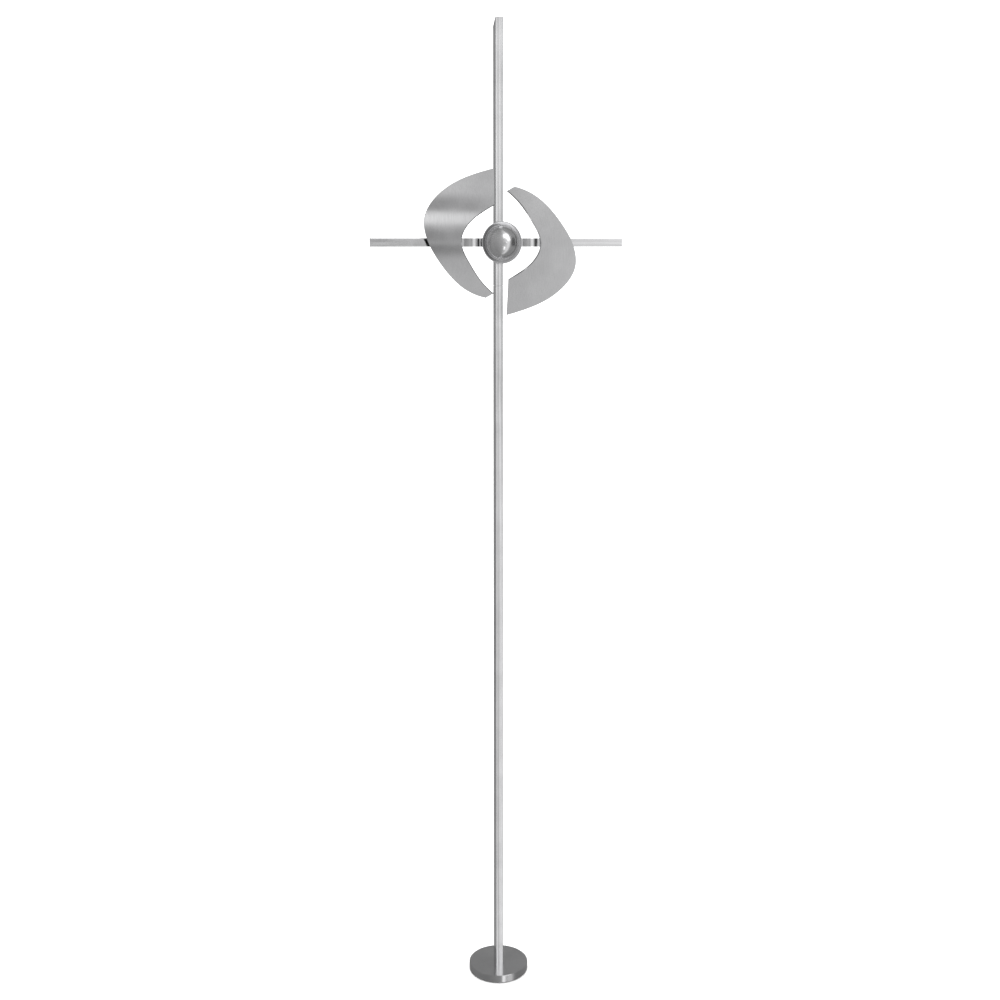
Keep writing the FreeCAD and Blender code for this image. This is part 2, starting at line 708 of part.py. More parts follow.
def make_arm(side, turn):
    """A flat arm from the housing's flange out behind its blade.

    Between the dish and the blade its front face is crowned, so that length stands proud in an arc.
    """
    part = body(f"rotor_arm_{side}")
    back = -VALUE["housing_back"]
    front = back - VALUE["arm_thick"]
    plan = [
        (-VALUE["crown_end"], front),
        (-VALUE["arm_end"], front),
        (-VALUE["arm_end"], back),
        (-VALUE["arm_start"], back),
        (-VALUE["arm_start"], front),
        (-VALUE["crown_start"], front),
    ]
    corners = [FreeCAD.Vector(across, along, 0) for across, along in plan]
    crest = FreeCAD.Vector((plan[0][0] + plan[-1][0]) / 2, front - VALUE["crown_rise"], 0)
    section = sketch_on(part, "XY_Plane", f"arm_{side}_plan")
    for begins, finishes in zip(corners, corners[1:]):
        section.addGeometry(Part.LineSegment(begins, finishes), False)
    section.addGeometry(Part.Arc(corners[-1], crest, corners[0]), False)
    pad(part, section, "Sizes.arm_height", symmetric=True)
    place(part, turn, height="Sizes.hub_height")
    keep(part, f"rotor_arm_{side}")


def make_blade(side, turn):
    """A crescent blade: a rolled plate that bulges to the front, trimmed to the blade's outline.

    The roll is about a line along X. Moving that line off the axis's height gives the plate its
    pitch where the arm crosses it. The inner edge is bevelled on the front.
    """
    part = body(f"blade_{side}")
    back_radius = VALUE["blade_roll"]
    front_radius = back_radius + VALUE["blade_thick"]
    seat = VALUE["housing_back"] + VALUE["arm_thick"] + VALUE["blade_weld"]
    pitch = math.radians(VALUE["blade_pitch"])
    centre = FreeCAD.Vector(back_radius * math.cos(pitch) - seat, back_radius * math.sin(pitch), 0)
    normal = FreeCAD.Vector(0, 0, 1)
    swing = math.asin(VALUE["blade_reach"] / back_radius)
    strip = sketch_on(part, "YZ_Plane", f"blade_{side}_strip")
    arcs = []
    for radius in (front_radius, back_radius):
        arc = Part.ArcOfCircle(Part.Circle(centre, normal, radius), math.pi - swing, math.pi + swing)
        strip.addGeometry(arc, False)
        arcs.append(arc)
    join_ends(strip, 0, 1, arcs)
    pad(part, strip, "2 * Sizes.blade_reach", symmetric=True)

    trim = sketch_on(part, "XZ_Plane", f"blade_{side}_outline")
    rectangle(trim, "Sizes.blade_reach * 1.5", "Sizes.blade_reach * 1.5")
    edges = []
    first_edge = trim.GeometryCount
    for waypoints in (OUTER_EDGE, INNER_EDGE):
        curve = Part.BSplineCurve()
        curve.interpolate([FreeCAD.Vector(x, z, 0) for x, z in waypoints])
        trim.addGeometry(curve, False)
        edges.append(curve)
    join_ends(trim, first_edge, first_edge + 1, edges, crossed=True)
    trimmed = pocket(part, trim, "Sizes.blade_roll", symmetric=True)

    document.recompute()
    inner = []
    reach_limit = max(math.hypot(x, z) for x, z in INNER_EDGE[1:-1]) + 1
    for number, edge in enumerate(trimmed.Shape.Edges, start=1):
        middle = edge.valueAt((edge.FirstParameter + edge.LastParameter) / 2)
        from_roll = math.hypot(middle.y - centre.x, middle.z - centre.y)
        if abs(from_roll - front_radius) < 0.01 and math.hypot(middle.x, middle.z) < reach_limit:
            inner.append(f"Edge{number}")
    dress(part, "Chamfer", trimmed, inner, "Size", "Sizes.blade_bevel")
    place(part, turn, height="Sizes.hub_height")
    keep(part, f"blade_{side}")


def make_dish():
    """The spun dish in front of the flange, and the screws that hold it."""
    bore = "Sizes.housing_radius + Sizes.head_gap"
    rim_front = f"{FLOOR_FRONT} + Sizes.dish_depth"
    dish = turned(
        "hub_dish",
        [
            (bore, FLANGE_FRONT),
            ("Sizes.dish_floor", FLANGE_FRONT),
            ("Sizes.dish_radius", f"{rim_front} - Sizes.dish_sheet"),
            ("Sizes.dish_radius", rim_front),
            ("Sizes.dish_radius - Sizes.dish_sheet", rim_front),
            ("Sizes.dish_floor - Sizes.dish_sheet / 2", FLOOR_FRONT),
            (bore, FLOOR_FRONT),
        ],
    )
    holes = sketch_on(dish, "XZ_Plane", "dish_holes", FLANGE_FRONT)
    screws = []
    for number in range(DISH_SCREWS):
        angle = 90 + number * 360 / DISH_SCREWS
        across = f"Sizes.dish_screw_circle * cos({angle})"
        above = f"Sizes.dish_screw_circle * sin({angle})"
        circle(holes, "Sizes.dish_screw_radius + Sizes.fit_gap", across=across, along=above)
        where = {"across": across, "reach": FLOOR_FRONT, "height": f"Sizes.hub_height + {above}"}
        length = "Sizes.dish_sheet + Sizes.flange_thick"
        head = cylinder(f"dish_screw_head_{number}", "Sizes.dish_screw_head", "Sizes.dish_screw_rise", FORWARD, **where)
        shank = cylinder(f"dish_screw_shank_{number}", "Sizes.dish_screw_radius", length, BACKWARD, **where)
        screws.append(fuse(f"dish_screw_{number}", head, shank))
    pocket(dish, holes, "Sizes.dish_sheet", reverse=True)
    group("dish_screws", screws)


def make_dome():
    """The half ball that covers the housing."""
    shells = []
    for name, radius in (("dome_outside", "Sizes.dome_radius"), ("dome_inside", "Sizes.dome_radius - Sizes.dome_sheet")):
        half_ball = document.addObject("Part::Sphere", name)
        bind(half_ball, Radius=radius)
        half_ball.Angle1 = 0
        shells.append(place(half_ball, FORWARD, reach=FLOOR_FRONT, height="Sizes.hub_height"))
    keep(cut("hub_dome", shells[0], shells[1]), "hub_dome")


def check_document():
    """Stops if any object failed or any piece has no sound shape."""
    for item in document.Objects:
        if "Invalid" in item.State or "Error" in item.State:
            raise RuntimeError(f"{item.Name} failed: {item.State}")
    for piece in nodes:
        if piece.Shape.isNull() or not piece.Shape.isValid() or not piece.Shape.Solids:
            raise RuntimeError(f"{piece.Label} has no sound shape")


def export():
    """Writes each piece to a file of its own."""
    os.makedirs("parts", exist_ok=True)
    for piece in nodes:
        piece.Shape.exportStep(f"parts/{piece.Label}.step")
        print(f"{piece.Label}: {len(piece.Shape.Solids)} solid, {piece.Shape.Volume:.1f} mm3")


make_sheet()
make_foot_plate()
make_foot_pad()
make_foot_screw()
make_foot_plug()
make_post()
make_cross()
make_axle()
make_bearing("rear", REAR_BEARING)
make_bearing("front", FRONT_BEARING)
make_housing()
for side, turn in (("left", NO_TURN), ("right", HALF_TURN_AXLE)):
    make_arm(side, turn)
    make_blade(side, turn)
make_dish()
make_dome()
document.recompute()
check_document()
export()
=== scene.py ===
import json
import logging
import math
from collections.abc import Iterable, Sequence
from dataclasses import dataclass, field
from enum import Enum

import bmesh
import bpy
from mathutils import Matrix, Vector


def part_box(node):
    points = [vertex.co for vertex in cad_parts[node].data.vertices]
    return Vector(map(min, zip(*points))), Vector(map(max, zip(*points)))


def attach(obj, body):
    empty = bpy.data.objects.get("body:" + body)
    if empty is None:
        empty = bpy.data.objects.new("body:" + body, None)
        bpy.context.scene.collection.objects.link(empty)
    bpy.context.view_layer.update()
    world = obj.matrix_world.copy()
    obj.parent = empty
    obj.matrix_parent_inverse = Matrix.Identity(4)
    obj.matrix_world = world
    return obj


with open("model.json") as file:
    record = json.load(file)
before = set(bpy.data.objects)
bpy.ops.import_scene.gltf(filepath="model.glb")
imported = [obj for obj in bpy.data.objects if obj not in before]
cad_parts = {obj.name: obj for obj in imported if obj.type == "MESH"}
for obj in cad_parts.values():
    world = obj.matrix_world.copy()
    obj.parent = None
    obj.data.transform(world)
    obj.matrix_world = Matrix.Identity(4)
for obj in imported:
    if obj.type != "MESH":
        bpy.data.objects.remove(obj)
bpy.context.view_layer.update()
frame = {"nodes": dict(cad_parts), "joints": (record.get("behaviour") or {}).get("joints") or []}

logging.basicConfig(level=logging.INFO, format="%(message)s")
log = logging.getLogger("wind_spinner")

Colour = tuple[float, float, float, float]
Stops = Sequence[tuple[float, Colour]]
# Where a soft-edged panel begins, is full, begins to fade and ends, in degrees.
Edges = tuple[float, float, float, float]

MM = 0.001
HUB_HEIGHT = next(j for j in frame["joints"] if j["name"] == "rotor_spin")["pos_m"][2]

# Handling and polishing leave soft clouds on the metal, a few centimetres across.
CLOUD_MM = 35.0
# Lengthwise lines of lighter and darker base colour, a few millimetres wide and about a metre long: partly
# the marks drawn tube keeps where the rolls touched it, partly painted reflection, bands that stand in for
# the uneven mirroring of a slightly bowed face.
DRAWN_AND_REFLECTION_LINE_MM = 3.4
DRAWN_AND_REFLECTION_RUN_MM = 1000 / 0.9
# How much longer than wide the slow waviness of a bar or sheet is.
WAVE_STRETCH_UPRIGHT = 14
WAVE_STRETCH_SIDEWAYS = 6

# What the metal mirrors, by bearing in degrees from the front, rising towards the object's right,
# with how bright each bearing is.
ROOM = [
    (-180, 0.33), (-163, 0.28), (-145, 0.29), (-110, 0.34), (-60, 0.32), (-35, 0.38), (-14, 0.46),
    (-4, 0.55), (9, 0.68), (17, 0.76), (19.4, 0.80), (21.4, 1.02), (38, 1.02), (46, 0.42), (60, 0.32),
    (120, 0.31), (160, 0.36), (180, 0.34),
]
# Slats across the left part of the front panel, by elevation in degrees, and the bearings they cover.
SLATS = [
    (-30, 0.96), (-13, 1.08), (-7.5, 0.92), (-5.5, 0.48), (-3.8, 0.48), (-3.0, 0.92), (-2, 0.62),
    (0, 0.64), (1.6, 1.0), (3.0, 1.90), (5.0, 1.90), (6.2, 0.66), (8.5, 0.66), (11, 1.36),
    (14, 1.36), (18, 0.80), (22, 0.80), (30, 1.0),
]
SLATTED: Edges = (0, 3, 15.2, 17.2)
# How full a soft-edged panel is at each of its edges.
SOFT = (0.0, 1.0, 1.0, 0.0)
# Elevations are mapped from this far below level to this far above it, in degrees.
TOP_ELEVATION = 60


class Grain(Enum):
    """How the grinding marks of a metal surface run."""

    UPRIGHT = "upright"
    SIDEWAYS = "sideways"
    RINGS_FLAT = "rings about the post"
    RINGS_HUB = "rings about the rotor's axis"
    NONE = "none"


def linear(code: str) -> Colour:
    """Turns an sRGB hex code into a linear colour.

    Args:
        code: Six hex digits.

    Returns:
        Red, green, blue and alpha.
    """
    channels = [int(code[start : start + 2], 16) / 255 for start in (0, 2, 4)]
    straight = [c / 12.92 if c <= 0.04045 else ((c + 0.055) / 1.055) ** 2.4 for c in channels]
    return (straight[0], straight[1], straight[2], 1.0)


def add(
    tree: bpy.types.NodeTree,
    kind: str,
    values: dict[str | int, object] | None = None,
    links: dict[str | int, bpy.types.NodeSocket] | None = None,
    stops: Stops = (),
    **settings: object,
) -> bpy.types.Node:
    """Adds a node to a tree.

    Args:
        tree: The node tree.
        kind: The node's type name.
        values: Input values by socket name or number.
        links: Sockets that feed its inputs, by socket name or number.
        stops: A colour ramp's positions with their colours, in rising order.
        **settings: Properties of the node itself.

    Returns:
        The new node.
    """
    node = tree.nodes.new(kind)
    for name, value in settings.items():
        setattr(node, name, value)
    for name, value in (values or {}).items():
        node.inputs[name].default_value = value
    for name, source in (links or {}).items():
        tree.links.new(source, node.inputs[name])
    if stops:
        elements = node.color_ramp.elements
        while len(elements) < len(stops):
            elements.new(0.5)
        for element, (position, colour) in zip(elements, stops):
            element.position = position
            element.color = colour
    return node


def greys(levels: Iterable[tuple[float, float]], span: float) -> Stops:
    """Turns angles with their brightness into the stops of a colour ramp.

    Args:
        levels: Angles in degrees with how bright each is, in rising order.
        span: Degrees that the ramp covers, half of them on each side of nought.

    Returns:
        Positions with their greys.
    """
    return [(angle / span + 0.5, (level, level, level, 1.0)) for angle, level in levels]


def new_material(name: str) -> tuple[bpy.types.Material, bpy.types.NodeTree, bpy.types.Node]:
    """Starts a node material with a surface shader.

    Args:
        name: The material's name.

    Returns:
        The material, its tree and its surface shader.
    """
    material = bpy.data.materials.new(name)
    material.use_nodes = True
    tree = material.node_tree
    tree.nodes.clear()
    shader = add(tree, "ShaderNodeBsdfPrincipled")
    output = add(tree, "ShaderNodeOutputMaterial")
    tree.links.new(shader.outputs["BSDF"], output.inputs["Surface"])
    return material, tree, shader


@dataclass(frozen=True)
class GroundSteel:
    """Stainless steel with fine grinding marks and a faintly uneven polish.

    Attributes:
        name: The material's name.
        light: Colour of the cleaner metal, sRGB hex.
        dark: Colour in the marks, sRGB hex.
        gloss: Lowest and highest roughness.
        grain: How the marks run.
        mark_mm: Width of a mark.
        run_mm: Length of a mark.
        depth_mm: Depth of the marks.
        wave_mm: Width of the slow waviness of the sheet.
        wave_depth_mm: Depth of that waviness.
        streak: How dark the lengthwise streaks are, from 0 to 1; partly drawn-tube lines, partly painted
            reflection bands.
    """

    name: str
    light: str
    dark: str
    gloss: tuple[float, float] = (0.18, 0.28)
    grain: Grain = Grain.UPRIGHT
    mark_mm: float = 0.5
    run_mm: float = 60.0
    depth_mm: float = 0.004
    wave_mm: float = 25.0
    wave_depth_mm: float = 0.0
    streak: float = 0.0

    def marks(self, tree: bpy.types.NodeTree, place: bpy.types.NodeSocket) -> bpy.types.NodeSocket:
        """Makes the pattern of marks.

        Args:
            tree: The node tree.
            place: Object coordinates.

        Returns:
            A factor from 0 to 1.
        """
        thin, long = 1 / (self.mark_mm * MM), 1 / (self.run_mm * MM)
        if self.grain in (Grain.RINGS_FLAT, Grain.RINGS_HUB):
            flat = self.grain is Grain.RINGS_FLAT
            keep = (1.0, 1.0, 0.0) if flat else (1.0, 0.0, 1.0)
            centre = (0.0, 0.0, 0.0 if flat else -HUB_HEIGHT)
            moved = add(tree, "ShaderNodeMapping", {"Location": centre}, {"Vector": place})
            flat_way = add(
                tree, "ShaderNodeVectorMath", {1: keep}, {0: moved.outputs[0]}, operation="MULTIPLY"
            )
            radius = add(tree, "ShaderNodeVectorMath", links={0: flat_way.outputs[0]}, operation="LENGTH")
            noise = add(
                tree,
                "ShaderNodeTexNoise",
                {"Scale": thin, "Detail": 4.0, "Roughness": 0.6},
                {"W": radius.outputs["Value"]},
                noise_dimensions="1D",
            )
            return noise.outputs["Fac"]
        stretch = {
            Grain.UPRIGHT: (thin, thin, long),
            Grain.SIDEWAYS: (long, thin, thin),
            Grain.NONE: (thin, thin, thin),
        }[self.grain]
        scaled = add(tree, "ShaderNodeMapping", {"Scale": stretch}, {"Vector": place})
        noise = add(
            tree,
            "ShaderNodeTexNoise",
            {"Scale": 1.0, "Detail": 4.0, "Roughness": 0.62},
            {"Vector": scaled.outputs[0]},
        )
        return noise.outputs["Fac"]

    def build(self) -> bpy.types.Material:
        """Builds the node material."""
        material, tree, shader = new_material(self.name)
        place = add(tree, "ShaderNodeTexCoord").outputs["Object"]
        marks = self.marks(tree, place)
        clouds = add(
            tree,
            "ShaderNodeTexNoise",
            {"Scale": 1 / (CLOUD_MM * MM), "Detail": 2.0, "Roughness": 0.5},
            {"Vector": place},
        ).outputs["Fac"]
        colour = add(
            tree,
            "ShaderNodeValToRGB",
            links={"Fac": marks},
            stops=[(0.30, linear(self.dark)), (0.62, linear(self.light))],
        )
        cloudy = add(
            tree,
            "ShaderNodeValToRGB",
            links={"Fac": clouds},
            stops=[(0.30, (0.93, 0.93, 0.93, 1.0)), (0.70, (1.0, 1.0, 1.0, 1.0))],
        )
        mixed = add(
            tree,
            "ShaderNodeMix",
            {0: 1.0},
            {6: colour.outputs["Color"], 7: cloudy.outputs["Color"]},
            data_type="RGBA",
            blend_type="MULTIPLY",
        )
        metal = mixed.outputs[2]
        # Lengthwise lines darken the base colour in bands: partly drawn-tube marks, partly painted
        # reflection standing in for a slightly bowed face mirroring unevenly.
        if self.streak:
            across, along = 1 / (DRAWN_AND_REFLECTION_LINE_MM * MM), 1 / (DRAWN_AND_REFLECTION_RUN_MM * MM)
            upright = self.grain is Grain.UPRIGHT
            run = (across, across, along) if upright else (along, across, across)
            drawn_and_reflection_place = add(tree, "ShaderNodeMapping", {"Scale": run}, {"Vector": place})
            lines = add(
                tree,
                "ShaderNodeTexNoise",
                {"Scale": 1.0, "Detail": 1.5, "Roughness": 0.55},
                {"Vector": drawn_and_reflection_place.outputs[0]},
            ).outputs["Fac"]
            darkest_drawn_and_reflection = 1.0 - self.streak
            shades = add(
                tree,
                "ShaderNodeValToRGB",
                links={"Fac": lines},
                stops=[(0.38, (darkest_drawn_and_reflection, darkest_drawn_and_reflection, darkest_drawn_and_reflection, 1.0)), (0.58, (1.0, 1.0, 1.0, 1.0))],
            )
            metal_with_drawn_and_reflection_lines = add(
                tree,
                "ShaderNodeMix",
                {0: 1.0},
                {6: metal, 7: shades.outputs["Color"]},
                data_type="RGBA",
                blend_type="MULTIPLY",
            )
            metal = metal_with_drawn_and_reflection_lines.outputs[2]
        tree.links.new(metal, shader.inputs["Base Color"])
        low, high = self.gloss
        rough = add(
            tree,
            "ShaderNodeMapRange",
            {"From Min": 0.25, "From Max": 0.75, "To Min": high, "To Max": low},
            {"Value": marks},
        )
        smear = add(
            tree,
            "ShaderNodeMath",
            {2: low * 0.5},
            {0: clouds, 1: rough.outputs[0]},
            operation="MULTIPLY_ADD",
        )
        tree.links.new(smear.outputs[0], shader.inputs["Roughness"])
        bump = add(
            tree,
            "ShaderNodeBump",
            {"Strength": 1.0, "Distance": self.depth_mm * MM},
            {"Height": marks},
        )
        normal = bump.outputs["Normal"]
        if self.wave_depth_mm:
            wide = 1 / (self.wave_mm * MM)
            slow = {
                Grain.UPRIGHT: (wide, wide, wide / WAVE_STRETCH_UPRIGHT),
                Grain.SIDEWAYS: (wide / WAVE_STRETCH_SIDEWAYS, wide, wide),
            }.get(self.grain, (wide, wide, wide))
            scaled = add(tree, "ShaderNodeMapping", {"Scale": slow}, {"Vector": place})
            waves = add(
                tree,
                "ShaderNodeTexNoise",
                {"Scale": 1.0, "Detail": 0.0},
                {"Vector": scaled.outputs[0]},
            )
            wavy = add(
                tree,
                "ShaderNodeBump",
                {"Strength": 1.0, "Distance": self.wave_depth_mm * MM},
                {"Height": waves.outputs["Fac"], "Normal": normal},
            )
            normal = wavy.outputs["Normal"]
        tree.links.new(normal, shader.inputs["Normal"])
        shader.inputs["Metallic"].default_value = 1.0
        return material


@dataclass(frozen=True)
class Moulded:
    """A dull moulded plastic or rubber with a fine pebbled skin.

    Attributes:
        name: The material's name.
        light: Lighter colour, sRGB hex.
        dark: Darker colour, sRGB hex.
        roughness: Mean roughness.
        pebble_mm: Size of the skin's pebbles.
    """

    name: str
    light: str
    dark: str
    roughness: float
    pebble_mm: float

    def build(self) -> bpy.types.Material:
        """Builds the node material."""
        material, tree, shader = new_material(self.name)
        place = add(tree, "ShaderNodeTexCoord").outputs["Object"]
        skin = add(
            tree,
            "ShaderNodeTexNoise",
            {"Scale": 1 / (self.pebble_mm * MM), "Detail": 3.0},
            {"Vector": place},
        ).outputs["Fac"]
        colour = add(
            tree,
            "ShaderNodeValToRGB",
            links={"Fac": skin},
            stops=[(0.3, linear(self.dark)), (0.7, linear(self.light))],
        )
        tree.links.new(colour.outputs["Color"], shader.inputs["Base Color"])
        rough = add(
            tree,
            "ShaderNodeMapRange",
            {"To Min": self.roughness - 0.08, "To Max": self.roughness + 0.08},
            {"Value": skin},
        )
        tree.links.new(rough.outputs[0], shader.inputs["Roughness"])
        bump = add(
            tree,
            "ShaderNodeBump",
            {"Strength": 0.6, "Distance": self.pebble_mm * MM * 0.15},
            {"Height": skin},
        )
        tree.links.new(bump.outputs["Normal"], shader.inputs["Normal"])
        return material


@dataclass(frozen=True)
class Heated:
    """A welding bead: bright rippled steel with straw and blue heat tint.

    Attributes:
        name: The material's name.
    """

    name: str

    def build(self) -> bpy.types.Material:
        """Builds the node material."""
        material, tree, shader = new_material(self.name)
        place = add(tree, "ShaderNodeTexCoord").outputs["Object"]
        tint = add(
            tree,
            "ShaderNodeTexNoise",
            {"Scale": 1 / (4 * MM), "Detail": 2.0},
            {"Vector": place},
        ).outputs["Fac"]
        # From straw through clean metal to blue.
        colour = add(
            tree,
            "ShaderNodeValToRGB",
            links={"Fac": tint},
            stops=[(0.3, linear("a79f92")), (0.5, linear("bdbcba")), (0.7, linear("9fa3ab"))],
        )
        tree.links.new(colour.outputs["Color"], shader.inputs["Base Color"])
        rough = add(tree, "ShaderNodeMapRange", {"To Min": 0.22, "To Max": 0.42}, {"Value": tint})
        tree.links.new(rough.outputs[0], shader.inputs["Roughness"])
        pores = add(
            tree,
            "ShaderNodeTexNoise",
            {"Scale": 1 / (0.6 * MM), "Detail": 3.0},
            {"Vector": place},
        ).outputs["Fac"]
        bump = add(tree, "ShaderNodeBump", {"Strength": 0.5, "Distance": 0.05 * MM}, {"Height": pores})
        tree.links.new(bump.outputs["Normal"], shader.inputs["Normal"])
        shader.inputs["Metallic"].default_value = 1.0
        return material


class Finishes:
    """The finishes of the whole object, each made once."""

    def __init__(self) -> None:
        """Builds every finish."""
        # Square stainless tube, belt ground along its length. Its bright and grey lines that run the whole
        # height are partly ground marks and partly painted reflection, darker base colour in bands that
        # stands in for the uneven mirroring of a slightly bowed face, and its slightly uneven faces soften
        # what they mirror.
        self.post_tube = GroundSteel(
            "ground_stainless_tube", "f6f6f7", "e4e4e6", (0.16, 0.26), Grain.UPRIGHT,
            mark_mm=0.5, run_mm=70.0, depth_mm=0.002, wave_mm=5.0, wave_depth_mm=0.10, streak=0.34,
        ).build()
        # The same tube for the cross, ground finer, so that one arm mirrors dark and the other light. Its
        # fainter lengthwise lines are the same mix of drawn marks and painted reflection.
        self.cross_tube = GroundSteel(
            "ground_stainless_cross_tube", "e8e8e9", "dadadc", (0.12, 0.18), Grain.SIDEWAYS,
            mark_mm=0.5, run_mm=70.0, depth_mm=0.002, wave_mm=6.0, wave_depth_mm=0.05, streak=0.12,
        ).build()
        # Sheet steel of the blades, ground and lightly polished, so that soft bands lie across it.
        self.blade_sheet = GroundSteel(
            "satin_stainless_sheet", "c6c6c7", "bcbcbd", (0.07, 0.12), Grain.UPRIGHT,
            mark_mm=0.6, run_mm=45.0, depth_mm=0.0015, wave_mm=45.0, wave_depth_mm=0.02,
        ).build()
        # Flat bar of the arms, polished enough for its bowed front to mirror in clear bands.
        self.arm_bar = GroundSteel(
            "polished_stainless_bar", "dededf", "d2d2d3", (0.08, 0.14), Grain.SIDEWAYS,
            mark_mm=0.5, run_mm=30.0, depth_mm=0.0015,
        ).build()
        # The foot is turned on a lathe and ground in rings: a quiet dark grey with the post mirrored in it.
        self.foot_rings = GroundSteel(
            "turned_stainless_plate", "bebebf", "b2b2b3", (0.16, 0.24), Grain.RINGS_FLAT,
            mark_mm=0.7, depth_mm=0.002,
        ).build()
        # Spun sheet, brushed in rings: a light and a dark line around the dome.
        self.spun_dish = GroundSteel(
            "spun_stainless_dish", "c4c4c5", "b3b3b4", (0.12, 0.20), Grain.RINGS_HUB,
            mark_mm=0.5, depth_mm=0.003,
        ).build()
        # Spun ball, satin and a little uneven: one soft white crescent on grey.
        self.spun_dome = GroundSteel(
            "spun_stainless_ball", "dededf", "d2d2d3", (0.20, 0.28), Grain.RINGS_HUB,
            mark_mm=0.6, depth_mm=0.002, wave_mm=14.0, wave_depth_mm=0.10,
        ).build()
        # Plain turned parts, with feed marks around the rotor's axis or upright.
        self.turned_hub = GroundSteel(
            "turned_stainless_round", "bcbcbd", "a2a2a4", (0.22, 0.34), Grain.RINGS_HUB,
            mark_mm=0.4, depth_mm=0.006,
        ).build()
        self.turned_inside = GroundSteel(
            "turned_stainless_plug", "b4b4b6", "9c9c9e", (0.26, 0.38), Grain.UPRIGHT,
            mark_mm=0.4, run_mm=40.0, depth_mm=0.006,
        ).build()
        # Bright stainless screws, tumbled after heading, evenly satin.
        self.fastener = GroundSteel(
            "tumbled_stainless_screw", "cacacb", "b6b6b8", (0.14, 0.24), Grain.NONE, mark_mm=0.8
        ).build()
        # Bearing steel, ground and lapped, the brightest mirror on the object.
        self.bearing = GroundSteel(
            "lapped_bearing_steel", "d6d6d8", "c8c8cb", (0.05, 0.10), Grain.RINGS_HUB,
            mark_mm=0.3, depth_mm=0.0008,
        ).build()
        # Moulded nylon with a dull skin, nearly black.
        self.cage = Moulded("moulded_nylon", "2b2b2d", "1f1f21", roughness=0.55, pebble_mm=0.6).build()
        # Moulded rubber, dull and black: the dark line under the foot.
        self.pad = Moulded("moulded_rubber", "262626", "191919", roughness=0.78, pebble_mm=0.9).build()
        # Welding bead, heat tinted and rippled.
        self.weld = Heated("heat_tinted_weld").build()


@dataclass
class Assembly:
    """A sub-assembly of the object.

    Attributes:
        finishes: The shared finishes.
    """

    finishes: Finishes

    def dress(self, finish: bpy.types.Material, *nodes: str) -> None:
        """Gives CAD nodes a finish.

        Args:
            finish: The material.
            *nodes: The nodes' names.
        """
        for name in nodes:
            piece = frame["nodes"][name]
            if not piece.material_slots:
                piece.data.materials.append(finish)
            for place in piece.material_slots:
                place.material = finish
            log.info("dressed %s in %s", name, finish.name)

    def settle(self, mesh: bmesh.types.BMesh, name: str, body: str, slot: str) -> None:
        """Makes a welded piece of a mesh and lets it ride.

        Args:
            mesh: The mesh, in metres and in place.
            name: The piece's name.
            body: The body it moves with.
            slot: Not used.
        """
        data = bpy.data.meshes.new(name)
        mesh.to_mesh(data)
        mesh.free()
        for face in data.polygons:
            face.use_smooth = True
        data.materials.append(self.finishes.weld)
        piece = bpy.data.objects.new(name, data)
        bpy.context.scene.collection.objects.link(piece)
        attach(piece, body)
        log.info("made %s: %d faces, riding on %s", name, len(data.polygons), body)


@dataclass
class WeldBead:
    """A run of overlapping welding ripples along a straight line.

    Attributes:
        half_width: Half the bead's width across, in metres.
        pitch: Distance between ripples, in metres.
    """

    half_width: float
    pitch: float

    def lay(self, mesh: bmesh.types.BMesh, start: Vector, end: Vector) -> None:
        """Adds ripples from one point to another.

        Args:
            mesh: The mesh to add to.
            start: The first ripple's middle.
            end: The last ripple's middle.
        """
        run = end - start
        count = max(2, round(run.length / self.pitch))
        # Each ripple is longer than the pitch, so that it sinks into its neighbours.
        size = Matrix.Diagonal((self.pitch * 1.15, self.half_width, self.half_width, 1.0))
        turn = run.to_track_quat("X", "Z").to_matrix().to_4x4()
        for number in range(count + 1):
            centre = Matrix.Translation(start + run * (number / count))
            bmesh.ops.create_icosphere(mesh, subdivisions=1, radius=1.0, matrix=centre @ turn @ size)


@dataclass
class Stand(Assembly):
    """The foot, the post, the cross and the axle that carries the rotor.

    Attributes:
        bead: The welding bead of the cross.
        bead_inset: How far it stops short of the tube's upper and lower edges, in metres.
    """

    bead: WeldBead = field(default_factory=lambda: WeldBead(0.9 * MM, 1.0 * MM))
    bead_inset: float = 1.6 * MM

    def dress_foot(self) -> None:
        """Finishes the foot plate, its pad and what is inside it."""
        self.dress(self.finishes.foot_rings, "base_plate")
        self.dress(self.finishes.pad, "base_pad")
        self.dress(self.finishes.fastener, "base_screw", "joint_screws")
        self.dress(self.finishes.turned_inside, "foot_plug", "joint_spigot")

    def dress_tubes(self) -> None:
        """Finishes the post, the cross and their closing plates."""
        self.dress(self.finishes.post_tube, "post_lower", "post_upper", "post_top_cap")
        for side in ("left", "right"):
            self.dress(self.finishes.cross_tube, f"crossbar_{side}", f"crossbar_cap_{side}")

    def dress_axle(self) -> None:
        """Finishes the axle bolt, its rings and the inner rings of the bearings."""
        self.dress(self.finishes.fastener, "axle_bolt", "rear_washer", "rear_cap_nut", "front_washer")
        self.dress(self.finishes.turned_hub, "crush_sleeve", "standoff_spacer", "inner_ring_spacer")
        self.dress(self.finishes.bearing, "rear_bearing_inner_ring", "front_bearing_inner_ring")

    def weld_cross(self) -> None:
        """Lays the bead that joins each side arm to the post, on the rear face where it doesn't show."""
        low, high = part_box("crossbar_right")
        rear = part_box("post_upper")[1].y
        mesh = bmesh.new()
        for side in (-1, 1):
            across = side * low.x
            foot = Vector((across, rear, low.z + self.bead_inset))
            top = Vector((across, rear, high.z - self.bead_inset))
            self.bead.lay(mesh, foot, top)
        self.settle(mesh, "weld_cross", "stand", "tube_steel")

    def build(self) -> None:
        """Builds and finishes the whole stand."""
        self.dress_foot()
        self.dress_tubes()
        self.dress_axle()
        self.weld_cross()


